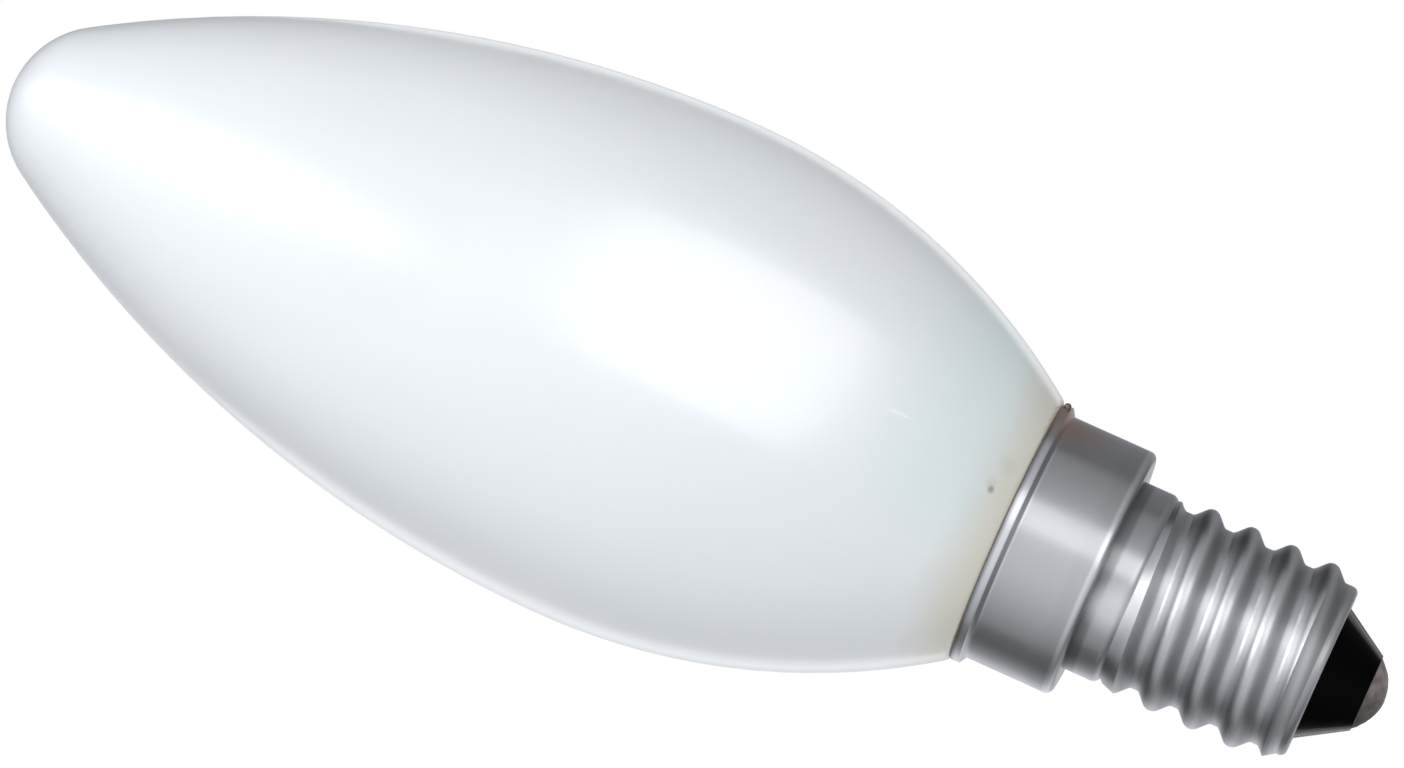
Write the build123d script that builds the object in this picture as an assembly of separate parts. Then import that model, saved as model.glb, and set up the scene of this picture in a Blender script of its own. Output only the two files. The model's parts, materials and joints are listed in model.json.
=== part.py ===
from build123d import *
import math
import os

# A candle bulb with a small screw cap, in millimetres.
# It stands cap down on the Z axis: the apex of the centre contact is the origin,
# and the tip of the glass points along +Z.

# Contact at the end of the cap
solder_height = 1.25
solder_diameter = 5.05
plate_thickness = 0.4
plate_rim = 0.05
plate_hole_diameter = 1.4

# Insulator: a cone in front of the shell and a flange behind its turned-in end
insulator_height = 3.15
insulator_rim = 0.06
insulator_flange = 2.6
insulator_fit = 0.08
insulator_bore_diameter = 1.8

# Cap shell, rolled from thin sheet
sheet = 0.22
end_opening_diameter = 9.2
end_round = 0.45
thread_length = 12.85
thread_pitch = 2.822
thread_major_diameter = 13.6
thread_minor_diameter = 11.9
thread_root_cut = 0.05
thread_flank = 46
thread_crest_height = 6.54
thread_taper = 1.5
neck_length = 2.55
neck_diameter = 13.2
collar_length = 5.95
collar_diameter = 17.1
collar_round = 0.5
lip_step = 0.3
lip_height = 0.6
lip_diameter = 18.1

# Glass bulb, measured from the lip upwards, with its neck and seal inside the cap
glass_length = 71.85
belly_rise = 25.85
bulb_diameter = 35.0
tip_radius = 6.3
lip_gap = 0.06
foot_round = 0.6
cement_gap = 0.9
neck_fillet = 0.7
seal_gap = 1.4
seal_round = 1.0
exhaust_diameter = 3.2
exhaust_length = 5.0

# Lead wires and the weld on the lip
wire_diameter = 0.3
wire_bend = 0.5
wire_offset = 3.0
wire_slant = 3.0
wire_cover = 0.5
side_angle = -12
weld_rise = 0.3
weld_radius = 0.25
weld_seat = 0.1

# How far a helical ridge reaches into the body it grows from
ridge_root = 0.4

# Heights, stacked from the contact upwards
shell_bottom = solder_height + insulator_height
neck_bottom = shell_bottom + thread_length
shoulder = neck_bottom + neck_length
lip_bottom = shoulder + collar_length
band_bottom = lip_bottom + lip_step
rim = band_bottom + lip_height
foot = rim + lip_gap
belly = rim + belly_rise
tip = rim + glass_length
seal = shoulder + sheet + seal_gap
exhaust_tip = seal - exhaust_length
weld_height = band_bottom + weld_rise

# Radii that several pieces share
opening_radius = end_opening_diameter / 2
minor_radius = thread_minor_diameter / 2
major_radius = thread_major_diameter / 2
collar_radius = collar_diameter / 2
lip_radius = lip_diameter / 2
lip_slope = math.atan2(lip_radius - collar_radius, lip_step)
collar_bore = collar_radius - sheet
lip_bore = lip_radius - sheet
narrowest_bore = min(collar_bore, lip_bore)
glass_neck_radius = narrowest_bore - cement_gap
plate_radius = solder_diameter / 2 + plate_rim
insulator_tip_radius = plate_radius + insulator_rim
weld_place = lip_radius + weld_seat
side_turn = Rot(0, 0, side_angle)


def arc(centre, start, end):
    """The shorter arc from start to end about a centre."""
    half = ((start[0] + end[0]) / 2 - centre[0], (start[1] + end[1]) / 2 - centre[1])
    reach = math.dist(centre, start) / math.hypot(*half)
    middle = (centre[0] + half[0] * reach, centre[1] + half[1] * reach)
    return ThreePointArc(start, middle, end)


def turned(*outline):
    """Turn a closed outline, drawn as (radius, height), about the Z axis."""
    return revolve(Plane.XZ * make_face(outline), Axis.Z)


def wire(*points):
    """A round wire along straight runs with bends, drawn in the XZ plane from its first end."""
    path = Plane.XZ * FilletPolyline(*points, radius=wire_bend)
    return sweep(Plane(path @ 0, z_dir=path % 0) * Circle(wire_diameter / 2), path)


def thread_ridge(inset):
    """A right-handed helical ridge with a round crest and hollow roots, moved in by inset.

    As on a rolled thread, crest and root are arcs of one size, here joined by straight flanks.
    """
    depth = major_radius - minor_radius + thread_root_cut
    half_pitch = thread_pitch / 2
    flank = math.radians(thread_flank)
    rise, run = math.sin(flank), math.cos(flank)
    form_radius = (half_pitch * rise - depth * run) / (2 * (1 - run))
    core = minor_radius - inset
    crest_radius = form_radius - inset
    root_radius = form_radius + inset
    crest_centre = (major_radius - form_radius, 0)
    root_centre = (minor_radius - thread_root_cut + form_radius, half_pitch)

    crest_join = (crest_centre[0] + crest_radius * run, crest_radius * rise)
    root_join = (root_centre[0] - root_radius * run, half_pitch - root_radius * rise)
    foot_reach = math.sqrt(root_radius**2 - (root_centre[0] - core) ** 2)
    foot = (core, half_pitch - foot_reach)

    def below(point):
        return (point[0], -point[1])

    buried = (core - ridge_root, foot[1])
    section = make_face(
        [
            arc(root_centre, foot, root_join),
            Line(root_join, crest_join),
            arc(crest_centre, crest_join, below(crest_join)),
            Line(below(crest_join), below(root_join)),
            arc(below(root_centre), below(root_join), below(foot)),
            Polyline(below(foot), below(buried), buried, foot),
        ]
    )
    start = thread_crest_height - math.ceil(thread_crest_height / thread_pitch) * thread_pitch
    turns = math.ceil((neck_bottom - start) / thread_pitch)
    path = Helix(thread_pitch, turns * thread_pitch, minor_radius)
    return Pos(0, 0, start) * sweep(Plane.XZ * section, path, is_frenet=True)


def lip_outline(inset, top):
    """From the collar over the step to the upright band of the lip, moved in by inset."""
    collar = collar_radius - inset
    lip = lip_radius - inset
    lift = inset * math.tan(lip_slope / 2)
    return [(collar, lip_bottom + lift), (lip, band_bottom + lift), (lip, top), (0, top)]


def cap_form(inset):
    """The cap as a filled body, with every wall moved in by inset."""
    core = minor_radius - inset
    neck = neck_diameter / 2 - inset
    collar = collar_radius - inset
    bottom = shell_bottom + inset
    ledge = shoulder + inset
    end_corner = end_round - inset
    collar_corner = collar_round - inset
    neck_step = neck - core

    end_flat = (core - end_corner, bottom)
    core_low = (core, bottom + end_corner)
    core_high = (core, neck_bottom)
    neck_low = (neck, neck_bottom + neck_step)
    ledge_end = (collar - collar_corner, ledge)
    collar_low = (collar, ledge + collar_corner)
    body = turned(
        Polyline((0, rim), (0, bottom), end_flat),
        arc((end_flat[0], core_low[1]), end_flat, core_low),
        Line(core_low, core_high),
        arc((core, neck_low[1]), core_high, neck_low),
        Polyline(neck_low, (neck, ledge), ledge_end),
        arc((ledge_end[0], collar_low[1]), ledge_end, collar_low),
        Polyline(collar_low, *lip_outline(inset, rim)),
    )

    spare = ridge_root / 4
    crest = major_radius - inset + spare
    fade_low = core_low[1]
    fade_high = neck_bottom + neck_step / 2
    thread_room = turned(
        Polyline(
            (0, fade_low),
            (core - spare, fade_low),
            (crest, fade_low + thread_taper),
            (crest, neck_bottom - thread_taper),
            (core + neck_step / 2, fade_high),
            (0, fade_high),
            (0, fade_low),
        )
    )
    return body + (thread_ridge(inset) & thread_room)


def make_cap_shell(side_lead):
    """Thin shell with a lip, collar, neck and rolled thread, pierced for the side lead."""
    opening = Pos(0, 0, shell_bottom) * Cylinder(opening_radius, 4 * sheet)
    return cap_form(0) - cap_form(sheet) - opening - side_lead


def tangent_radius(inward, along, end_radius):
    """Radius of the arc that starts at the belly and runs into an end arc of the given radius.

    The centre of the end arc lies inward from the belly and along the axis from it.
    """
    return (inward**2 + along**2 - end_radius**2) / (2 * (inward - end_radius))


def make_glass_bulb():
    """The bulb: arcs that meet at the belly, a round tip, and a foot that sits over the lip.

    A narrow neck, a seal and an exhaust tip go down inside the cap.
    """
    belly_radius = bulb_diameter / 2
    belly_point = (belly_radius, belly)

    tip_centre = (0, tip - tip_radius)
    climb = tip_centre[1] - belly
    upper_radius = tangent_radius(belly_radius, climb, tip_radius)
    upper_centre = (belly_radius - upper_radius, belly)
    tip_turn = math.atan2(climb, -upper_centre[0])
    tip_join = (
        tip_centre[0] + tip_radius * math.cos(tip_turn),
        tip_centre[1] + tip_radius * math.sin(tip_turn),
    )

    foot_centre = (lip_bore, foot + foot_round)
    drop = belly - foot_centre[1]
    lower_radius = tangent_radius(belly_radius - foot_centre[0], drop, foot_round)
    lower_centre = (belly_radius - lower_radius, belly)
    foot_turn = math.atan2(drop, foot_centre[0] - lower_centre[0])
    foot_join = (
        foot_centre[0] + foot_round * math.cos(foot_turn),
        foot_centre[1] - foot_round * math.sin(foot_turn),
    )

    neck_high = (glass_neck_radius + neck_fillet, foot)
    neck_top = (glass_neck_radius, foot - neck_fillet)
    neck_low = (glass_neck_radius, seal + seal_round)
    seal_end = (glass_neck_radius - seal_round, seal)
    exhaust_radius = exhaust_diameter / 2
    exhaust_low = (exhaust_radius, exhaust_tip + exhaust_radius)
    return turned(
        arc((0, exhaust_low[1]), (0, exhaust_tip), exhaust_low),
        Polyline(exhaust_low, (exhaust_radius, seal), seal_end),
        arc((seal_end[0], neck_low[1]), seal_end, neck_low),
        Line(neck_low, neck_top),
        arc((neck_high[0], neck_top[1]), neck_top, neck_high),
        Line(neck_high, (lip_bore, foot)),
        arc(foot_centre, (lip_bore, foot), foot_join),
        arc(lower_centre, foot_join, belly_point),
        arc(upper_centre, belly_point, tip_join),
        arc(tip_centre, tip_join, (0, tip)),
        Line((0, tip), (0, exhaust_tip)),
    )


def make_basing_cement(glass_bulb, side_lead):
    """Cement that fills the gap between the neck of the glass and the collar up to the foot."""
    bottom = seal + seal_round
    filling = turned(Polyline((0, bottom), (collar_bore, bottom), *lip_outline(sheet, foot), (0, bottom)))
    return filling - glass_bulb - side_lead


def make_insulator():
    """Cone with a seat for the contact plate, and a flange behind the turned-in end."""
    seat = shell_bottom + sheet
    flange_radius = minor_radius - sheet - insulator_fit
    flange_top = seat + insulator_flange
    plate_seat = solder_height + plate_thickness
    bore_radius = insulator_bore_diameter / 2
    return turned(
        Polyline(
            (bore_radius, flange_top),
            (bore_radius, plate_seat),
            (plate_radius, plate_seat),
            (plate_radius, solder_height),
            (insulator_tip_radius, solder_height),
            (opening_radius, shell_bottom),
            (opening_radius, seat),
            (flange_radius - end_round, seat),
            (flange_radius, seat + end_round),
            (flange_radius, flange_top),
            (bore_radius, flange_top),
        )
    )


def make_contact_plate():
    """Flat metal disc, set flush in the end of the insulator."""
    hole_radius = plate_hole_diameter / 2
    top = solder_height + plate_thickness
    return turned(
        Polyline(
            (hole_radius, solder_height),
            (plate_radius, solder_height),
            (plate_radius, top),
            (hole_radius, top),
            (hole_radius, solder_height),
        )
    )


def make_contact_solder(centre_lead):
    """Low dome of solder on the plate, with a plug in its hole, round the end of the wire."""
    base_radius = solder_diameter / 2
    hole_radius = plate_hole_diameter / 2
    top = solder_height + plate_thickness
    dome_radius = (base_radius**2 + solder_height**2) / (2 * solder_height)
    dome = turned(
        arc((0, dome_radius), (0, 0), (base_radius, solder_height)),
        Polyline(
            (base_radius, solder_height),
            (hole_radius, solder_height),
            (hole_radius, top),
            (0, top),
            (0, 0),
        ),
    )
    return dome - centre_lead


def make_centre_lead():
    """Wire from the seal, past the exhaust tip and down the axis into the solder."""
    line = wire(
        (wire_offset, seal),
        (wire_offset, exhaust_tip),
        (0, exhaust_tip - wire_slant),
        (0, wire_cover),
    )
    return side_turn * Rot(0, 0, 180) * line


def make_side_lead():
    """Wire from the seal, round the neck of the glass and out through the lip."""
    turn_height = shoulder + sheet + seal_gap / 2
    gap_radius = glass_neck_radius + cement_gap / 2
    line = wire(
        (wire_offset, seal),
        (wire_offset, turn_height),
        (gap_radius, turn_height),
        (gap_radius, weld_height),
        (weld_place, weld_height),
    )
    return side_turn * line


def make_side_weld(side_lead):
    """Nub of weld metal on the lip, over the end of the side lead."""
    nub = side_turn * Pos(weld_place, 0, weld_height) * Sphere(weld_radius)
    inside = Pos(0, 0, weld_height) * Cylinder(lip_radius, 4 * weld_radius)
    return nub - inside - side_lead


centre_lead = make_centre_lead()
side_lead = make_side_lead()
glass_bulb = make_glass_bulb()
cap_shell = make_cap_shell(side_lead)

pieces = {
    "glass_bulb": glass_bulb,
    "basing_cement": make_basing_cement(glass_bulb, side_lead),
    "cap_shell": cap_shell,
    "insulator": make_insulator(),
    "contact_plate": make_contact_plate(),
    "contact_solder": make_contact_solder(centre_lead),
    "centre_lead": centre_lead,
    "side_lead": side_lead,
    "side_weld": make_side_weld(side_lead),
}

os.makedirs("parts", exist_ok=True)
for name, piece in pieces.items():
    export_step(piece, f"parts/{name}.step")
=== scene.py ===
# %% [markdown]
# # A candle bulb of opal glass
# The bulb comes out of the CAD model as nine solids in one frame: the contact at the origin, the axis
# along +Z and the tip of the glass at the top. This lesson puts the light and the finishes on it. Where
# a solid already has the right shape, it stays and only its material changes.

import json
import math

import bmesh
import bpy
from mathutils import Matrix, Vector, noise

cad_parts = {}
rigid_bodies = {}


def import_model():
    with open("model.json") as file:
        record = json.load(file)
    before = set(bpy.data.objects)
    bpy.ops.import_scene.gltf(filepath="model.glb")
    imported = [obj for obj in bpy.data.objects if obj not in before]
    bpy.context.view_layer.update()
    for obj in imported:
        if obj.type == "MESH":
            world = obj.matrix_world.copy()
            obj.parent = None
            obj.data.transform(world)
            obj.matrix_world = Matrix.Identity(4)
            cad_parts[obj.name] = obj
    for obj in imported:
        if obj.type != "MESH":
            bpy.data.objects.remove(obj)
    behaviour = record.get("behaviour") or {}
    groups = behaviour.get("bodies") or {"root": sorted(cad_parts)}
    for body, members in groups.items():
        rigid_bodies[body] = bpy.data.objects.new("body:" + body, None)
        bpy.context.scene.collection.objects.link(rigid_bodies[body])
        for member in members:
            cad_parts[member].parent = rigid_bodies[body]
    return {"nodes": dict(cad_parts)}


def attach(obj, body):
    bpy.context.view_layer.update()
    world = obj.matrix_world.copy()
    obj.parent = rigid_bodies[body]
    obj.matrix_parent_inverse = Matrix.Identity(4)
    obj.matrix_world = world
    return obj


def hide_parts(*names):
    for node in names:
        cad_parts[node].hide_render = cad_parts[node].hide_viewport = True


mm = 0.001
for leftover in list(bpy.data.objects):
    bpy.data.objects.remove(leftover)
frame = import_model()
bpy.context.view_layer.update()
print("solids:", ", ".join(sorted(frame["nodes"])))

# %% [markdown]
# ## Camera
# The picture was taken from close by: the lip of the cap shows more of its curve than the end of the
# thread does. Those two curves put the lens level with the contact and 460 mm away. The bulb lies
# slantwise in the picture, so the camera is rolled about its own line of sight. A long lens keeps the
# sides of the bulb nearly parallel, and no shift is needed.

# %% Camera
camera_spot = Vector((0.0, -0.460, 0.001))
camera_aim = Vector((0.00056, 0.0, 0.04883))
camera_roll = math.radians(-65.706)

sight = (camera_aim - camera_spot).normalized()
level = sight.cross(Vector((0, 0, 1))).normalized()
upright = level.cross(sight)
right = math.cos(camera_roll) * level + math.sin(camera_roll) * upright
top = math.cos(camera_roll) * upright - math.sin(camera_roll) * level
rolled = Matrix((right, top, -sight)).transposed().to_4x4()

lens = bpy.data.cameras.new("bulb_camera")
lens.sensor_width = 36.0
lens.lens = 181.76
lens.clip_start, lens.clip_end = 0.01, 20.0
camera = bpy.data.objects.new("bulb_camera", lens)
bpy.context.collection.objects.link(camera)
camera.matrix_world = Matrix.Translation(camera_spot) @ rolled
scene = bpy.context.scene
scene.camera = camera
scene.view_settings.view_transform = "Standard"
print("camera looks up by", round(math.degrees(math.asin(sight.z)), 2), "degrees")


# %% [markdown]
# ## Helpers
# Colours are written as the hex values that a paint program shows, and turned to the linear numbers that
# Blender computes with. A node tree is only nodes, settings and links, so one small function is enough
# to build all of them. A Mix node has sockets for numbers, vectors and colours under the same names, so
# its colour sockets are taken by number.

# %% Helpers
colour_a, colour_b, colour_out = 6, 7, 2


def linear(code):
    """Linear red, green, blue and alpha of an sRGB hex colour."""
    parts = [int(code[i : i + 2], 16) / 255 for i in (1, 3, 5)]
    return (*[p / 12.92 if p <= 0.04045 else ((p + 0.055) / 1.055) ** 2.4 for p in parts], 1.0)


def add(tree, kind, inputs=None, **settings):
    """Adds a node with its settings; each input gets a value, or a link if it is given a socket."""
    node = tree.nodes.new(kind)
    for name, value in settings.items():
        setattr(node, name, value)
    for socket, value in (inputs or {}).items():
        if isinstance(value, bpy.types.NodeSocket):
            tree.links.new(value, node.inputs[socket])
        else:
            node.inputs[socket].default_value = value
    return node


def piece_from(shape, name):
    """An object of that name, with the finished bmesh as its mesh."""
    mesh = bpy.data.meshes.new(name)
    shape.to_mesh(mesh)
    shape.free()
    piece = bpy.data.objects.new(name, mesh)
    bpy.context.collection.objects.link(piece)
    return piece


print("a mid grey is", round(linear("#808080")[0], 3), "in linear light")

# %% [markdown]
# ## The studio
# A bulb is photographed against a white sheet. The camera sees pure white all round. Metal and glass
# show that white sheet behind the bulb, and a darker room at its sides, which draws their edges. The
# tones of the room are colour ramps: one runs round the room, from the wall behind the bulb by way of
# the camera and back, one runs from floor to ceiling, and one runs over the bulb from the front to the
# back. That last one is a dark card, which draws the thin grey line round the tip.

# %% Tones of the room
world = bpy.data.worlds.new("white_studio")
scene.world = world
world.use_nodes = True
sky = world.node_tree
sky.nodes.clear()
way = add(sky, "ShaderNodeTexCoord").outputs["Generated"]
axes = add(sky, "ShaderNodeSeparateXYZ", {0: way})
front = add(sky, "ShaderNodeMath", {0: axes.outputs["Y"], 1: -1.0}, operation="MULTIPLY")
turn = add(sky, "ShaderNodeMath", {0: axes.outputs["X"], 1: front.outputs[0]}, operation="ARCTAN2")
climb = add(sky, "ShaderNodeMath", {0: axes.outputs["Z"], 1: front.outputs[0]}, operation="ARCTAN2")

# Each row has a reading and the tone there: degrees of turn, height from -1 to 1, degrees of climb.
wall_tones = [
    (-180, 1.3), (-155, 1.15), (-133, 0.5), (-114, 0.2), (-93, 0.38), (-75, 0.57), (-60, 0.74),
    (-45, 0.92), (-31, 1.04), (-17, 1.1), (-4, 1.1), (9, 1.0), (22, 0.85), (36, 0.75), (50, 0.65),
    (65, 0.55), (81, 0.47), (100, 0.38), (114, 0.34), (133, 0.32), (155, 0.34), (170, 0.6), (180, 1.3),
]
height_tones = [(-0.9, 0.7), (-0.2, 1.0), (0.25, 1.0), (0.9, 1.7)]
card_tones = [(98, 1.0), (116, 0.2), (152, 0.2), (168, 1.0)]
wall_grey, even_grey = Vector((0.62, 0.63, 0.66)), Vector((1, 1, 1))
room_ramps = []
for reading, low, high, in_degrees, tint, tones in [
    (turn.outputs[0], -180, 180, True, wall_grey, wall_tones),
    (axes.outputs["Z"], -1, 1, False, even_grey, height_tones),
    (climb.outputs[0], -180, 180, True, even_grey, card_tones),
]:
    least, most = (math.radians(low), math.radians(high)) if in_degrees else (low, high)
    share = add(sky, "ShaderNodeMapRange", {"Value": reading, "From Min": least, "From Max": most})
    ramp = add(sky, "ShaderNodeValToRGB", {"Fac": share.outputs["Result"]})
    stops = ramp.color_ramp.elements
    for number, (spot, tone) in enumerate(tones):
        part = (spot - low) / (high - low)
        stop = stops[number] if number < 2 else stops.new(part)
        stop.position = part
        stop.color = (*(tint * tone), 1.0)
    room_ramps.append(ramp.outputs["Color"])
walls, heights, card = room_ramps
print("studio walls:", len(wall_tones), "tones round the room")

# %% [markdown]
# ### Overhead panel
# A long panel over the bulb shines along the tip of the glass. It is a soft oval in the room: how far
# a direction lies across the panel and along it, in half widths, gives its distance from the middle.

# %% Overhead panel
panel_turn, panel_half_width, panel_radiance = math.radians(6), 0.29, 2.4
panel_low, panel_high = math.radians(27), math.radians(97)
panel_side = (math.cos(panel_turn) / panel_half_width, math.sin(panel_turn) / panel_half_width, 0)
across = add(sky, "ShaderNodeVectorMath", {0: way, 1: panel_side}, operation="DOT_PRODUCT")
along = add(
    sky,
    "ShaderNodeMapRange",
    {
        "Value": climb.outputs[0],
        "From Min": panel_low,
        "From Max": panel_high,
        "To Min": -1.0,
        "To Max": 1.0,
    },
    clamp=False,
)
on_panel = add(
    sky, "ShaderNodeCombineXYZ", {"X": across.outputs["Value"], "Y": along.outputs["Result"], "Z": 0.0}
)
panel_reach = add(sky, "ShaderNodeVectorMath", {0: on_panel.outputs[0]}, operation="LENGTH")
overhead = add(
    sky,
    "ShaderNodeMapRange",
    {
        "Value": panel_reach.outputs["Value"],
        "From Min": 0.55,
        "From Max": 1.15,
        "To Min": panel_radiance,
        "To Max": 0.0,
    },
    interpolation_type="SMOOTHSTEP",
)
print("overhead panel:", round(math.degrees(panel_high - panel_low)), "degrees long")

# %% [markdown]
# ### What each ray meets
# The camera, and light that goes through a piece, meet the white sheet. A mirrored ray meets the room
# with its panel. All other rays meet a matt light that fills the shadows, even and low, and a little
# stronger from the upper front.

# %% What each ray meets
fill_way, fill_behind, fill_before = (-0.30, -0.74, 0.60), 0.39, 0.92
toned_room = add(sky, "ShaderNodeVectorMath", {0: walls, 1: heights}, operation="MULTIPLY")
carded_room = add(
    sky, "ShaderNodeVectorMath", {0: toned_room.outputs["Vector"], 1: card}, operation="MULTIPLY"
)
lit_room = add(
    sky,
    "ShaderNodeVectorMath",
    {0: carded_room.outputs["Vector"], 1: overhead.outputs["Result"]},
    operation="ADD",
)
room = add(sky, "ShaderNodeBackground", {"Color": lit_room.outputs["Vector"], "Strength": 1.0})
fill_side = add(sky, "ShaderNodeVectorMath", {0: way, 1: fill_way}, operation="DOT_PRODUCT")
facing = add(
    sky,
    "ShaderNodeMapRange",
    {
        "Value": fill_side.outputs["Value"],
        "From Min": -1.0,
        "From Max": 1.0,
        "To Min": fill_behind,
        "To Max": fill_before,
    },
)
fill = add(sky, "ShaderNodeBackground", {"Color": linear("#FCFDFF"), "Strength": facing.outputs["Result"]})
sheet = add(sky, "ShaderNodeBackground", {"Color": (1, 1, 1, 1), "Strength": 1.0})
ray = add(sky, "ShaderNodeLightPath")
seen = add(
    sky,
    "ShaderNodeMath",
    {0: ray.outputs["Is Camera Ray"], 1: ray.outputs["Is Transmission Ray"]},
    operation="MAXIMUM",
)
mirrored = add(
    sky, "ShaderNodeMixShader", {0: ray.outputs["Is Glossy Ray"], 1: fill.outputs[0], 2: room.outputs[0]}
)
shown = add(sky, "ShaderNodeMixShader", {0: seen.outputs[0], 1: mirrored.outputs[0], 2: sheet.outputs[0]})
add(sky, "ShaderNodeOutputWorld", {"Surface": shown.outputs[0]})
print("studio:", world.name, "with", len(sky.nodes), "nodes")

# %% [markdown]
# ## Floor
# The bulb stands on its contact, as the frame has it. The floor only carries the soft shadow: it gives
# off a little white of its own, so that where nothing shades it, it runs into the white sheet.

# %% Floor
floor_radius, floor_glow = 3.0, 0.6
disc = bmesh.new()
bmesh.ops.create_circle(disc, cap_ends=True, segments=96, radius=floor_radius)
floor = piece_from(disc, "floor")
paper = bpy.data.materials.new("white_paper_floor")
paper.use_nodes = True
tree = paper.node_tree
tree.nodes.clear()
matt = add(tree, "ShaderNodeBsdfDiffuse", {"Color": linear("#E6E6E6")})
glow = add(tree, "ShaderNodeEmission", {"Strength": floor_glow})
floor_ray = add(tree, "ShaderNodeLightPath")
lift = add(tree, "ShaderNodeMixShader", {0: floor_ray.outputs["Is Camera Ray"], 2: glow.outputs[0]})
both = add(tree, "ShaderNodeAddShader", {0: matt.outputs[0], 1: lift.outputs[0]})
add(tree, "ShaderNodeOutputMaterial", {"Surface": both.outputs[0]})
floor.data.materials.append(paper)
floor.visible_glossy = False
floor.visible_shadow = False
print("floor:", 2 * floor_radius, "m wide, at the height of the contact")

# %% [markdown]
# ## Lamps
# A photographer lights glass and metal apart, with black cards that keep each lamp off the other piece.
# Light linking does the same here. The glass has three softboxes for its even light, in front, over
# the tip and low by the cap. Three more only shine in its skin: a wide one makes the broad highlight
# beside the cap, and two narrow ones behind the bulb draw the pale line along each of its edges. A
# narrow one low in front draws the bright band of the metal, and a flat one above lights the upper
# flanks of its thread. Black glass only shows at its edges, and two small lamps behind it draw those.

# %% Lamps
bulb_middle, lamp_distance = Vector((0, 0, 0.052)), 0.6


def softbox(name, sideways, upwards, width, height, radiance, node, light):
    """A rectangular lamp that lights one node, with matt light, with shine or with both."""
    side, rise = math.radians(sideways), math.radians(upwards)
    away = Vector((math.sin(side) * math.cos(rise), -math.cos(side) * math.cos(rise), math.sin(rise)))
    data = bpy.data.lights.new(name, "AREA")
    data.shape = "RECTANGLE"
    data.size, data.size_y = width, height
    data.energy = radiance * math.pi * width * height
    lamp = bpy.data.objects.new(name, data)
    facing_bulb = away.to_track_quat("Z", "Y").to_matrix().to_4x4()
    lamp.matrix_world = Matrix.Translation(bulb_middle + away * lamp_distance) @ facing_bulb
    lamp.visible_camera = False
    lamp.visible_diffuse = light in ("matt", "both")
    lamp.visible_glossy = light in ("shine", "both")
    lit = bpy.data.collections.new(name + "_lights")
    lit.objects.link(frame["nodes"][node])
    lamp.light_linking.receiver_collection = lit
    bpy.context.collection.objects.link(lamp)
    return lamp


# Name, degrees round from the camera towards +X, degrees up, width and height in m, radiance, node, light.
softboxes = [
    ("glass_front_softbox", 22, -3, 0.28, 0.50, 1.75, "glass_bulb", "matt"),
    ("glass_tip_softbox", 6, 65, 0.26, 0.69, 1.6, "glass_bulb", "matt"),
    ("glass_shine_softbox", 30, -9, 0.88, 0.50, 2.2, "glass_bulb", "shine"),
    ("glass_low_softbox", -20, -42, 0.40, 0.40, 0.70, "glass_bulb", "matt"),
    ("glass_rim_low_softbox", -150, 0, 0.18, 0.40, 0.5, "glass_bulb", "shine"),
    ("glass_rim_high_softbox", 158, 0, 0.18, 0.40, 0.75, "glass_bulb", "shine"),
    ("metal_front_softbox", 22, -22, 0.30, 0.69, 0.84, "cap_shell", "both"),
    ("metal_top_softbox", 18, 62, 0.80, 0.20, 1.7, "cap_shell", "both"),
    ("black_glass_low_softbox", -148, -26, 0.22, 0.22, 1.05, "insulator", "shine"),
    ("black_glass_high_softbox", 148, -26, 0.22, 0.22, 1.05, "insulator", "shine"),
]
lamps = {row[0]: softbox(*row) for row in softboxes}
print("softboxes:", ", ".join(lamps))

# %% [markdown]
# ## Opal glass
# The bulb is blown from soda-lime glass that is white all through, and its outside is etched to a satin.
# Such glass looks soft for two reasons: light goes in and comes out again nearby, and the etched skin
# spreads the shine of the lamps. A diffuse colour with a little subsurface light gives the first, a
# rough base under a smoother coat gives the second. The colour comes first. Towards the foot the glass
# is thicker and a little greener, and then the cream cement behind it shows through. Both follow the
# height of the point, read from the Object coordinates, and clouds a few millimetres wide keep them
# from looking printed.

# %% Opal glass: colour
def start_finish(name):
    """A material with an empty node tree, that tree, and the place on the object that it colours."""
    made = bpy.data.materials.new(name)
    made.use_nodes = True
    made.node_tree.nodes.clear()
    return made, made.node_tree, add(made.node_tree, "ShaderNodeTexCoord").outputs["Object"]


cloud_width, cloud_lift = 7 * mm, 1.6 * mm
opal_glass, tree, place = start_finish("opal_glass_blown_and_etched")
on_glass = add(tree, "ShaderNodeSeparateXYZ", {0: place})
clouds = add(tree, "ShaderNodeTexNoise", {"Vector": place, "Scale": 1 / cloud_width, "Detail": 3.0})
white = add(
    tree,
    "ShaderNodeMix",
    {"Factor": clouds.outputs["Fac"], colour_a: linear("#E9EEF1"), colour_b: linear("#EDF0F3")},
    data_type="RGBA",
)
green_depth = add(
    tree,
    "ShaderNodeMapRange",
    {
        "Value": on_glass.outputs["Z"],
        "From Min": 31 * mm,
        "From Max": 39 * mm,
        "To Min": 0.7,
        "To Max": 0.0,
    },
    interpolation_type="SMOOTHSTEP",
)
green_side = add(
    tree,
    "ShaderNodeMapRange",
    {"Value": on_glass.outputs["X"], "From Min": -5 * mm, "From Max": 1 * mm},
    interpolation_type="SMOOTHSTEP",
)
green_part = add(
    tree,
    "ShaderNodeMath",
    {0: green_depth.outputs["Result"], 1: green_side.outputs["Result"]},
    operation="MULTIPLY",
)
greened = add(
    tree,
    "ShaderNodeMix",
    {"Factor": green_part.outputs[0], colour_a: white.outputs[colour_out], colour_b: linear("#DEECED")},
    data_type="RGBA",
)
ragged_height = add(
    tree,
    "ShaderNodeMath",
    {0: clouds.outputs["Fac"], 1: cloud_lift, 2: on_glass.outputs["Z"]},
    operation="MULTIPLY_ADD",
)
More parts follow.
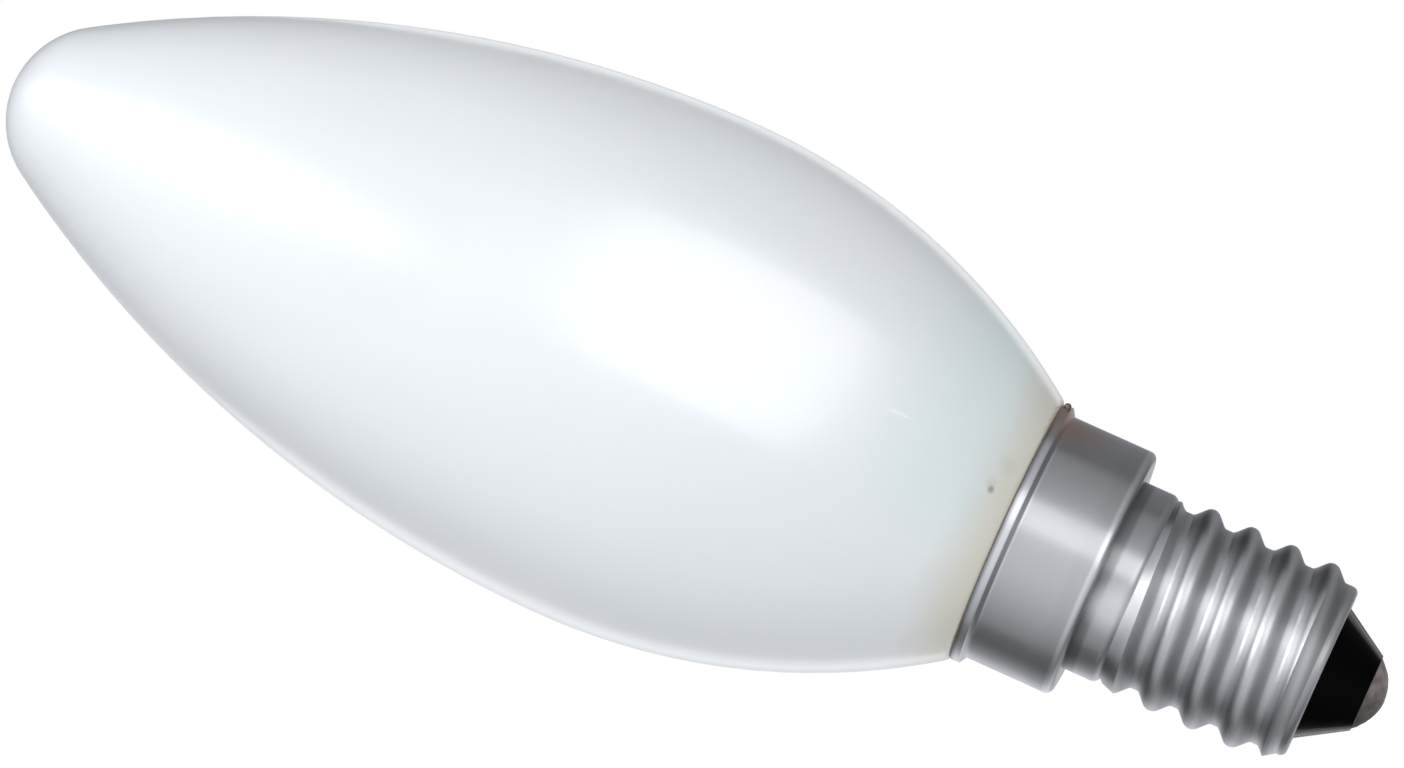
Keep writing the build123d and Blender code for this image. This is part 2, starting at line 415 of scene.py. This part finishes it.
cream_depth = add(
    tree,
    "ShaderNodeMapRange",
    {
        "Value": ragged_height.outputs[0],
        "From Min": 27.4 * mm,
        "From Max": 31.4 * mm,
        "To Min": 1.0,
        "To Max": 0.0,
    },
    interpolation_type="SMOOTHSTEP",
)
warmed = add(
    tree,
    "ShaderNodeMix",
    {
        "Factor": cream_depth.outputs["Result"],
        colour_a: greened.outputs[colour_out],
        colour_b: linear("#DBD8CB"),
    },
    data_type="RGBA",
)
print("glass colour:", len(tree.nodes), "nodes")

# %% [markdown]
# ### Specks and a scratch
# A few specks of dirt sit by the lip, and there is one short scratch in the satin. A speck is dark in
# its core and fades towards its rim. The scratch is a long thin spot of bare white, so its distances are
# measured in its own half widths.

# %% Opal glass: specks and a scratch
marked = warmed
specks = [
    ((1.95, -9.75, 28.35), 0.18, 0.42, 0.95),
    ((2.30, -9.72, 28.50), 0.10, 0.60, 0.2),
    ((3.70, -8.99, 28.00), 0.10, 0.90, 0.12),
]
for speck_place, core, rim, strength in specks:
    speck_reach = add(
        tree, "ShaderNodeVectorMath", {0: place, 1: Vector(speck_place) * mm}, operation="DISTANCE"
    )
    speck = add(
        tree,
        "ShaderNodeMapRange",
        {
            "Value": speck_reach.outputs["Value"],
            "From Min": core * mm,
            "From Max": rim * mm,
            "To Min": strength,
            "To Max": 0.0,
        },
    )
    marked = add(
        tree,
        "ShaderNodeMix",
        {
            "Factor": speck.outputs["Result"],
            colour_a: marked.outputs[colour_out],
            colour_b: linear("#5E5A56"),
        },
        data_type="RGBA",
    )
scratch_place, scratch_size = Vector((3.97, -12.5, 35.3)) * mm, Vector((0.15, 6.0, 1.1)) * mm
scratch_grid = add(
    tree,
    "ShaderNodeMapping",
    {"Vector": place, "Location": scratch_place, "Scale": scratch_size},
    vector_type="TEXTURE",
)
scratch_reach = add(tree, "ShaderNodeVectorMath", {0: scratch_grid.outputs[0]}, operation="LENGTH")
scratch = add(
    tree,
    "ShaderNodeMapRange",
    {
        "Value": scratch_reach.outputs["Value"],
        "From Min": 0.5,
        "From Max": 1.0,
        "To Min": 0.5,
        "To Max": 0.0,
    },
)
scratched = add(
    tree,
    "ShaderNodeMix",
    {
        "Factor": scratch.outputs["Result"],
        colour_a: marked.outputs[colour_out],
        colour_b: linear("#FCFCFC"),
    },
    data_type="RGBA",
)
print("marks on the glass:", len(specks), "specks and a scratch")

# %% [markdown]
# ### Satin skin
# Etching leaves a fine grain. It makes the skin a little uneven, in roughness and in height, and the
# lamps show in it as broad soft patches. The coat is the part of the skin that still shines.

# %% Opal glass: satin skin
# The etched grain is about 0.03 mm wide. It is drawn 0.3 mm wide, so that it shows at all.
etched_width = 0.3 * mm
# Most of a noise lies between these two values.
noise_low, noise_high = 0.3, 0.7
grain = add(tree, "ShaderNodeTexNoise", {"Vector": place, "Scale": 1 / etched_width, "Detail": 2.0})
satin = add(
    tree,
    "ShaderNodeMapRange",
    {
        "Value": grain.outputs["Fac"],
        "From Min": noise_low,
        "From Max": noise_high,
        "To Min": 0.42,
        "To Max": 0.48,
    },
)
skin = add(
    tree,
    "ShaderNodeBump",
    {"Height": grain.outputs["Fac"], "Strength": 1.0, "Distance": 0.0008 * mm},
)
glass_shader = add(
    tree,
    "ShaderNodeBsdfPrincipled",
    {
        "Base Color": scratched.outputs[colour_out],
        "Roughness": satin.outputs["Result"],
        "Normal": skin.outputs["Normal"],
        "IOR": 1.6,
        "Coat Weight": 1.0,
        "Coat IOR": 1.6,
        "Coat Roughness": 0.2,
        "Subsurface Weight": 0.3,
        "Subsurface Radius": (2 * mm, 2 * mm, 2 * mm),
        "Subsurface Scale": 1.0,
    },
)
add(tree, "ShaderNodeOutputMaterial", {"Surface": glass_shader.outputs[0]})
frame["nodes"]["glass_bulb"].material_slots[0].material = opal_glass
print("glass:", opal_glass.name, "with", len(tree.nodes), "nodes")

# %% [markdown]
# ## Cap metal
# The cap is pressed from thin aluminium sheet and its thread is rolled in. Pressing and rolling leave
# fine rings round the axis, and handling leaves dull smudges. Stretching a noise round the axis makes
# the rings: its coordinates are squeezed across the axis and kept along it. Painted shade darkens the
# neck under the shoulder, the crease under the lip and the seam with the glass, and painted highlight
# brightens the lower edge of the collar and the lip, so their tones are listed by their height on the cap.

# %% Cap metal: rings, smudges and painted shade
# Real rolling rings are some 0.05 mm apart. They are drawn 0.3 mm apart, so that they show.
ring_spacing, smudge_width = 0.3 * mm, 3.5 * mm
cap_metal, tree, place = start_finish("aluminium_sheet_pressed_and_rolled")
on_cap = add(tree, "ShaderNodeSeparateXYZ", {0: place})
height = on_cap.outputs["Z"]
stretched = add(tree, "ShaderNodeMapping", {"Vector": place, "Scale": (0.02, 0.02, 1.0)})
rings = add(
    tree,
    "ShaderNodeTexNoise",
    {"Vector": stretched.outputs[0], "Scale": 1 / ring_spacing, "Detail": 2.0},
)
smudges = add(tree, "ShaderNodeTexNoise", {"Vector": place, "Scale": 1 / smudge_width, "Detail": 4.0})
metal = add(
    tree,
    "ShaderNodeMix",
    {"Factor": smudges.outputs["Fac"], colour_a: linear("#FAFBFD"), colour_b: linear("#EFF1F4")},
    data_type="RGBA",
)
# Height in mm and the tone of painted shade and painted highlight there.
shade_band_low, shade_band_high = 18.9, 26.7
shade_and_highlight_tones = [
    (18.95, 0.72), (19.20, 0.45), (19.85, 0.32), (19.95, 0.80), (20.05, 0.95), (20.30, 0.95),
    (20.48, 0.68), (21.20, 0.68), (21.80, 0.72), (25.55, 0.72), (25.70, 0.90), (25.80, 0.62),
    (25.95, 0.62), (26.08, 0.90), (26.20, 1.00), (26.40, 0.95), (26.54, 0.60), (26.64, 0.35),
]
along_cap = add(
    tree,
    "ShaderNodeMapRange",
    {"Value": height, "From Min": shade_band_low * mm, "From Max": shade_band_high * mm},
)
# This ramp paints shade in the creases and under the shoulder, and highlight on the lip and collar edge.
painted_shade_and_highlight = add(tree, "ShaderNodeValToRGB", {"Fac": along_cap.outputs["Result"]})
print("grime:", len(shade_and_highlight_tones), "tones between", shade_band_low, "and", shade_band_high, "mm")

# %% [markdown]
# ### Painted highlight and shade on the thread
# Painted highlight and painted shade lie in bands that follow the turns of the thread, bright on its
# flanks where the lamps shine and dark between. The height less the share of a turn tells where on the
# thread a point lies, from one crest to the next. Above the thread, the painted shade and highlight by
# height take over.

# %% Cap metal: painted highlight and shade on the thread
thread_pitch, crest_height = 2.822 * mm, 6.54 * mm
# Part of the way from crest to crest, and the tone of painted highlight and painted shade there.
thread_shade_and_highlight_tones = [
    (0.00, 0.80), (0.05, 0.74), (0.10, 0.56), (0.15, 0.45), (0.20, 0.47), (0.26, 0.68), (0.32, 0.82),
    (0.40, 0.82), (0.47, 0.82), (0.52, 0.78), (0.59, 0.58), (0.67, 0.49), (0.75, 0.50), (0.81, 0.62),
    (0.88, 0.86), (0.95, 0.92), (1.00, 0.80),
]
angle = add(tree, "ShaderNodeMath", {0: on_cap.outputs["Y"], 1: on_cap.outputs["X"]}, operation="ARCTAN2")
turned_back = add(
    tree,
    "ShaderNodeMath",
    {0: angle.outputs[0], 1: -thread_pitch / (2 * math.pi), 2: height},
    operation="MULTIPLY_ADD",
)
turn_part = add(
    tree,
    "ShaderNodeMath",
    {0: turned_back.outputs[0], 1: 1 / thread_pitch, 2: -crest_height / thread_pitch},
    operation="MULTIPLY_ADD",
)
along_turn = add(tree, "ShaderNodeMath", {0: turn_part.outputs[0]}, operation="FRACT")
# This ramp paints highlight and shade in bands along the turns of the thread.
thread_shade_and_highlight = add(tree, "ShaderNodeValToRGB", {"Fac": along_turn.outputs[0]})
for ramp, low, high, tones in [(painted_shade_and_highlight, shade_band_low, shade_band_high, shade_and_highlight_tones), (thread_shade_and_highlight, 0, 1, thread_shade_and_highlight_tones)]:
    stops = ramp.color_ramp.elements
    for number, (spot, tone) in enumerate(tones):
        part = (spot - low) / (high - low)
        stop = stops[number] if number < 2 else stops.new(part)
        stop.position = part
        stop.color = (tone, tone, tone, 1.0)
thread_ends = add(
    tree,
    "ShaderNodeMapRange",
    {"Value": height, "From Min": 15.9 * mm, "From Max": 16.9 * mm, "To Min": 1.0, "To Max": 0.0},
)
painted_tone = add(
    tree,
    "ShaderNodeMix",
    {
        "Factor": thread_ends.outputs["Result"],
        colour_a: painted_shade_and_highlight.outputs["Color"],
        colour_b: thread_shade_and_highlight.outputs["Color"],
    },
    data_type="RGBA",
)
shaded_metal = add(
    tree,
    "ShaderNodeMix",
    {"Factor": 1.0, colour_a: metal.outputs[colour_out], colour_b: painted_tone.outputs[colour_out]},
    data_type="RGBA",
    blend_type="MULTIPLY",
)
print("worn thread:", len(thread_shade_and_highlight_tones), "tones to a turn of", thread_pitch / mm, "mm")

# %% [markdown]
# ### Painted highlight on the neck and heat tint
# The neck has a painted highlight, and the weld has left a brown tint on the lip and collar beside it.
# Each is a soft round spot that fades with the distance from its middle.

# %% Cap metal: painted neck highlight and heat tint
heat_turn, heat_radius, heat_height = math.radians(-22), 8.9, 25.9
heat_place = (heat_radius * math.cos(heat_turn), heat_radius * math.sin(heat_turn), heat_height)
tinted_and_highlighted = shaded_metal
for middle, core, rim, strength, colour in [
    # The first spot is a painted highlight on the neck; the second is the heat tint.
    ((-1.9, -6.32, 18.2), 0.5, 2.2, 0.9, "#FAFBFD"),
    (heat_place, 0.3, 4.2, 0.8, "#DAB7A9"),
]:
    patch_reach = add(
        tree, "ShaderNodeVectorMath", {0: place, 1: Vector(middle) * mm}, operation="DISTANCE"
    )
    patch = add(
        tree,
        "ShaderNodeMapRange",
        {
            "Value": patch_reach.outputs["Value"],
            "From Min": core * mm,
            "From Max": rim * mm,
            "To Min": strength,
            "To Max": 0.0,
        },
        interpolation_type="SMOOTHSTEP",
    )
    tinted_and_highlighted = add(
        tree,
        "ShaderNodeMix",
        {
            "Factor": patch.outputs["Result"],
            colour_a: tinted_and_highlighted.outputs[colour_out],
            colour_b: linear(colour),
        },
        data_type="RGBA",
    )
print("heat tint beside the weld:", 2 * rim, "mm wide")

# %% [markdown]
# ### Shine of the metal
# Smudges make the sheet duller in places, and the rolled thread is duller than the collar. Rings too
# fine to draw still spread the shine along the axis, so the shine is made longer that way than round
# the cap.

# %% Cap metal: shine
dullness = add(
    tree,
    "ShaderNodeMapRange",
    {
        "Value": smudges.outputs["Fac"],
        "From Min": noise_low,
        "From Max": noise_high,
        "To Min": 0.27,
        "To Max": 0.35,
    },
)
rolled_part = add(
    tree,
    "ShaderNodeMapRange",
    {"Value": height, "From Min": 16.6 * mm, "From Max": 17.6 * mm, "To Min": 0.1, "To Max": 0.0},
)
duller_thread = add(
    tree,
    "ShaderNodeMath",
    {0: dullness.outputs["Result"], 1: rolled_part.outputs["Result"]},
    operation="ADD",
)
ringed = add(
    tree, "ShaderNodeBump", {"Height": rings.outputs["Fac"], "Strength": 1.0, "Distance": 0.004 * mm}
)
round_axis = add(tree, "ShaderNodeTangent", direction_type="RADIAL", axis="Z")
metal_shader = add(
    tree,
    "ShaderNodeBsdfPrincipled",
    {
        "Base Color": tinted_and_highlighted.outputs[colour_out],
        "Metallic": 1.0,
        "Roughness": duller_thread.outputs[0],
        "Anisotropic": 0.6,
        "Anisotropic Rotation": 0.25,
        "Tangent": round_axis.outputs["Tangent"],
        "Normal": ringed.outputs["Normal"],
    },
)
add(tree, "ShaderNodeOutputMaterial", {"Surface": metal_shader.outputs[0]})
frame["nodes"]["cap_shell"].material_slots[0].material = cap_metal
print("cap:", cap_metal.name, "with", len(tree.nodes), "nodes")

# %% [markdown]
# ## Black glass
# The insulator is black glass, pressed hot into the end of the cap. It is smooth and nearly without
# colour, so it only shows what it mirrors. Faint ripples from the pressing and a thin bloom of dust are
# all that tells it from a black hole.

# %% Black glass
bloom_width, ripple_width = 1.2 * mm, 1.5 * mm
black_glass, tree, place = start_finish("black_glass_pressed")
bloom = add(tree, "ShaderNodeTexNoise", {"Vector": place, "Scale": 1 / bloom_width, "Detail": 4.0})
ripples = add(tree, "ShaderNodeTexNoise", {"Vector": place, "Scale": 1 / ripple_width, "Detail": 1.0})
black = add(
    tree,
    "ShaderNodeMix",
    {"Factor": bloom.outputs["Fac"], colour_a: linear("#020203"), colour_b: linear("#050506")},
    data_type="RGBA",
)
polish = add(
    tree,
    "ShaderNodeMapRange",
    {
        "Value": bloom.outputs["Fac"],
        "From Min": noise_low,
        "From Max": noise_high,
        "To Min": 0.08,
        "To Max": 0.2,
    },
)
rippled = add(
    tree, "ShaderNodeBump", {"Height": ripples.outputs["Fac"], "Strength": 1.0, "Distance": 0.015 * mm}
)
black_shader = add(
    tree,
    "ShaderNodeBsdfPrincipled",
    {
        "Base Color": black.outputs[colour_out],
        "Roughness": polish.outputs["Result"],
        "Normal": rippled.outputs["Normal"],
        "IOR": 1.5,
        "Specular IOR Level": 0.05,
    },
)
add(tree, "ShaderNodeOutputMaterial", {"Surface": black_shader.outputs[0]})
frame["nodes"]["insulator"].material_slots[0].material = black_glass
print("insulator:", black_glass.name, "with", len(tree.nodes), "nodes")

# %% [markdown]
# ## Solder dome
# A drop of solder closes the end of the cap and is the contact itself. A drop is never an exact dome:
# it sags where it set, and the tongue of a lampholder has rubbed its top. The piece starts as the
# sphere that the dome is cut from. A plane cuts the dome off, and each point then sinks a little by a
# smooth noise, so the drop stays inside the space of the solid that it stands for. The rubbed top sinks
# less, and the flat rim on the insulator doesn't sink at all.

# %% Solder dome
solder_radius, solder_rise = 2.525 * mm, 1.25 * mm
sag_width, sag_depth, rubbed_rise, rubbed_share = 1.1 * mm, 0.09 * mm, 0.5 * solder_rise, 0.7
rim_margin, merge_distance = 0.01 * mm, 0.001 * mm
drop_radius = (solder_radius**2 + solder_rise**2) / (2 * solder_rise)
drop_middle = Vector((0, 0, drop_radius))
drop = bmesh.new()
bmesh.ops.create_uvsphere(drop, u_segments=96, v_segments=96, radius=drop_radius)
bmesh.ops.translate(drop, verts=drop.verts, vec=drop_middle)
ball = drop.verts[:] + drop.edges[:] + drop.faces[:]
bmesh.ops.bisect_plane(
    drop, geom=ball, plane_co=(0, 0, solder_rise), plane_no=(0, 0, 1), clear_outer=True
)
bmesh.ops.holes_fill(drop, edges=[edge for edge in drop.edges if edge.is_boundary], sides=0)
for vert in drop.verts:
    if vert.co.z < solder_rise - rim_margin:
        sag = max(noise.fractal(vert.co / sag_width, 0.6, 2.0, 3) * 0.5 + 0.5, 0.0)
        rub = max(0.0, 1.0 - vert.co.z / rubbed_rise)
        sunk = sag * sag_depth * (1.0 - rubbed_share * rub)
        vert.co += (drop_middle - vert.co).normalized() * sunk
bmesh.ops.remove_doubles(drop, verts=drop.verts, dist=merge_distance)
bmesh.ops.recalc_face_normals(drop, faces=drop.faces)
for face in drop.faces:
    face.smooth = face.normal.z < 0.99
solder_drop = piece_from(drop, "solder_drop")
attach(solder_drop, "root")
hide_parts("contact_solder")
lamps["metal_front_softbox"].light_linking.receiver_collection.objects.link(solder_drop)
print("solder drop:", len(solder_drop.data.polygons), "faces")

# %% [markdown]
# ## Solder
# Tin solder is bright when it sets and soon goes dull and brownish under flux and fingers. It is still
# a metal, so most of its look is a wide, weak shine. Blotches of flux change its colour, one side is
# painted darker as shade, and short scuffs from the lampholder break up the shine.

# %% Solder
blotch_width, scuff_width, shade_reach = 0.9 * mm, 0.16 * mm, 1.6 * mm
solder, tree, place = start_finish("tin_solder_set_and_dulled")
blotches = add(tree, "ShaderNodeTexNoise", {"Vector": place, "Scale": 1 / blotch_width, "Detail": 4.0})
flux = add(tree, "ShaderNodeValToRGB", {"Fac": blotches.outputs["Fac"]})
for stop, (part, colour) in zip(flux.color_ramp.elements, [(0.35, "#9C938F"), (0.68, "#CFC5C0")]):
    stop.position, stop.color = part, linear(colour)
on_solder = add(tree, "ShaderNodeSeparateXYZ", {0: place})
# Painted shade: the drop is painted darker towards -X.
shaded_side = add(
    tree,
    "ShaderNodeMapRange",
    {
        "Value": on_solder.outputs["X"],
        "From Min": -shade_reach,
        "From Max": shade_reach,
        "To Min": 0.3,
        "To Max": 1.0,
    },
)
flux_and_shade = add(
    tree,
    "ShaderNodeVectorMath",
    {0: flux.outputs["Color"], "Scale": shaded_side.outputs["Result"]},
    operation="SCALE",
)
scuff_grid = add(
    tree, "ShaderNodeMapping", {"Vector": place, "Scale": (1.0, 0.12, 1.0), "Rotation": (0, 0, 0.5)}
)
scuffs = add(
    tree,
    "ShaderNodeTexNoise",
    {"Vector": scuff_grid.outputs[0], "Scale": 1 / scuff_width, "Detail": 2.0},
)
dulled = add(
    tree,
    "ShaderNodeMapRange",
    {
        "Value": blotches.outputs["Fac"],
        "From Min": noise_low,
        "From Max": noise_high,
        "To Min": 0.48,
        "To Max": 0.66,
    },
)
scuffed = add(
    tree, "ShaderNodeBump", {"Height": scuffs.outputs["Fac"], "Strength": 1.0, "Distance": 0.02 * mm}
)
solder_shader = add(
    tree,
    "ShaderNodeBsdfPrincipled",
    {
        "Base Color": flux_and_shade.outputs["Vector"],
        "Metallic": 0.7,
        "Roughness": dulled.outputs["Result"],
        "Normal": scuffed.outputs["Normal"],
    },
)
add(tree, "ShaderNodeOutputMaterial", {"Surface": solder_shader.outputs[0]})
solder_drop.data.materials.append(solder)
print("contact:", solder.name, "with", len(tree.nodes), "nodes")

# %% [markdown]
# ## Weld bead
# The second lead wire comes out through the lip and is welded to it: a bead of melted wire half a
# millimetre wide. A small ball is pushed about by noise and cut flat where it sits on the lip.

# %% Weld bead
weld_turn, weld_radius, weld_height = math.radians(-12), 9.15, 26.35
weld_spot = (weld_radius * math.cos(weld_turn), weld_radius * math.sin(weld_turn), weld_height)
weld_place = Vector(weld_spot) * mm
bead_radius, lip_radius = 0.25 * mm, 9.05 * mm
bead_fullness, lump_depth, lump_width = 0.96, 0.08, 0.18 * mm
outwards = Vector((math.cos(weld_turn), math.sin(weld_turn), 0))
on_lip = outwards * lip_radius + Vector((0, 0, weld_place.z))
bead = bmesh.new()
bmesh.ops.create_icosphere(bead, subdivisions=4, radius=bead_radius)
for vert in bead.verts:
    vert.co *= bead_fullness - lump_depth * abs(noise.noise(vert.co / lump_width))
bmesh.ops.translate(bead, verts=bead.verts, vec=weld_place)
lump = bead.verts[:] + bead.edges[:] + bead.faces[:]
bmesh.ops.bisect_plane(bead, geom=lump, plane_co=on_lip, plane_no=outwards, clear_inner=True)
bmesh.ops.holes_fill(bead, edges=[edge for edge in bead.edges if edge.is_boundary], sides=0)
bmesh.ops.recalc_face_normals(bead, faces=bead.faces)
for face in bead.faces:
    face.smooth = True
weld_bead = piece_from(bead, "weld_bead")
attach(weld_bead, "root")
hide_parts("side_weld")
print("weld bead:", len(weld_bead.data.polygons), "faces")

# %% [markdown]
# ## Weld metal
# The bead has melted and cooled in the air. A thin scale has formed on it, so it is a dark, warm grey,
# spotted and dull, with only a weak shine.

# %% Weld metal
scale_width = 0.15 * mm
weld_metal, tree, place = start_finish("weld_metal_melted_and_tinted")
scale_spots = add(tree, "ShaderNodeTexNoise", {"Vector": place, "Scale": 1 / scale_width, "Detail": 3.0})
scorched = add(
    tree,
    "ShaderNodeMix",
    {"Factor": scale_spots.outputs["Fac"], colour_a: linear("#8A7F77"), colour_b: linear("#B0A397")},
    data_type="RGBA",
)
crusted = add(
    tree, "ShaderNodeBump", {"Height": scale_spots.outputs["Fac"], "Strength": 1.0, "Distance": 0.02 * mm}
)
crust = add(
    tree,
    "ShaderNodeMapRange",
    {
        "Value": scale_spots.outputs["Fac"],
        "From Min": noise_low,
        "From Max": noise_high,
        "To Min": 0.38,
        "To Max": 0.55,
    },
)
weld_shader = add(
    tree,
    "ShaderNodeBsdfPrincipled",
    {
        "Base Color": scorched.outputs[colour_out],
        "Metallic": 1.0,
        "Roughness": crust.outputs["Result"],
        "Normal": crusted.outputs["Normal"],
    },
)
add(tree, "ShaderNodeOutputMaterial", {"Surface": weld_shader.outputs[0]})
weld_bead.data.materials.append(weld_metal)
print("weld:", weld_metal.name, "with", len(tree.nodes), "nodes")

# %% [markdown]
# ## Cement
# Behind the glass and the metal sits the baked cement that holds the bulb in its cap. It is a sandy
# cream paste that sets hard, with a chalky, crumbly face and no shine.

# %% Cement
crumb_width = 0.5 * mm
cement, tree, place = start_finish("basing_cement_baked")
crumbs = add(tree, "ShaderNodeTexNoise", {"Vector": place, "Scale": 1 / crumb_width, "Detail": 5.0})
sandy = add(
    tree,
    "ShaderNodeMix",
    {"Factor": crumbs.outputs["Fac"], colour_a: linear("#BDAF8C"), colour_b: linear("#DCD0AE")},
    data_type="RGBA",
)
crumbly = add(
    tree, "ShaderNodeBump", {"Height": crumbs.outputs["Fac"], "Strength": 1.0, "Distance": 0.08 * mm}
)
chalky = add(tree, "ShaderNodeMapRange", {"Value": crumbs.outputs["Fac"], "To Min": 0.8, "To Max": 0.95})
cement_shader = add(
    tree,
    "ShaderNodeBsdfPrincipled",
    {
        "Base Color": sandy.outputs[colour_out],
        "Roughness": chalky.outputs["Result"],
        "Normal": crumbly.outputs["Normal"],
    },
)
add(tree, "ShaderNodeOutputMaterial", {"Surface": cement_shader.outputs[0]})
frame["nodes"]["basing_cement"].material_slots[0].material = cement
print("cement:", cement.name, "with", len(tree.nodes), "nodes")

# %% [markdown]
# ## Plate and wires
# The plate under the solder is stamped from brass sheet, and the two leads are drawn copper-coloured
# wire. Both are metals with fine lines in them, across the plate and along the wires, so one loop makes
# both finishes. Hardly anything of them shows, but they are there when the cap is taken off.

# %% Plate and wires
line_width = 0.12 * mm
for name, dark, bright, streak, nodes in [
    ("brass_sheet_stamped", "#7E6A3C", "#B39A5A", (1.0, 0.05, 1.0), ["contact_plate"]),
    ("copper_wire_drawn", "#9C6A48", "#C98E66", (1.0, 1.0, 0.05), ["centre_lead", "side_lead"]),
]:
    drawn, tree, place = start_finish(name)
    lines = add(tree, "ShaderNodeMapping", {"Vector": place, "Scale": streak})
    streaks = add(
        tree,
        "ShaderNodeTexNoise",
        {"Vector": lines.outputs[0], "Scale": 1 / line_width, "Detail": 2.0},
    )
    toned = add(
        tree,
        "ShaderNodeMix",
        {"Factor": streaks.outputs["Fac"], colour_a: linear(dark), colour_b: linear(bright)},
        data_type="RGBA",
    )
    worn = add(tree, "ShaderNodeMapRange", {"Value": streaks.outputs["Fac"], "To Min": 0.3, "To Max": 0.5})
    lined = add(
        tree,
        "ShaderNodeBump",
        {"Height": streaks.outputs["Fac"], "Strength": 1.0, "Distance": 0.004 * mm},
    )
    drawn_shader = add(
        tree,
        "ShaderNodeBsdfPrincipled",
        {
            "Base Color": toned.outputs[colour_out],
            "Metallic": 1.0,
            "Roughness": worn.outputs["Result"],
            "Normal": lined.outputs["Normal"],
        },
    )
    add(tree, "ShaderNodeOutputMaterial", {"Surface": drawn_shader.outputs[0]})
    for node in nodes:
        frame["nodes"][node].material_slots[0].material = drawn
    print("inside the cap:", drawn.name, "on", " and ".join(nodes))

# %% [markdown]
# ## Close
# The last step updates the view layer, so that the scene is up to date.

# %% Close
bpy.context.view_layer.update()
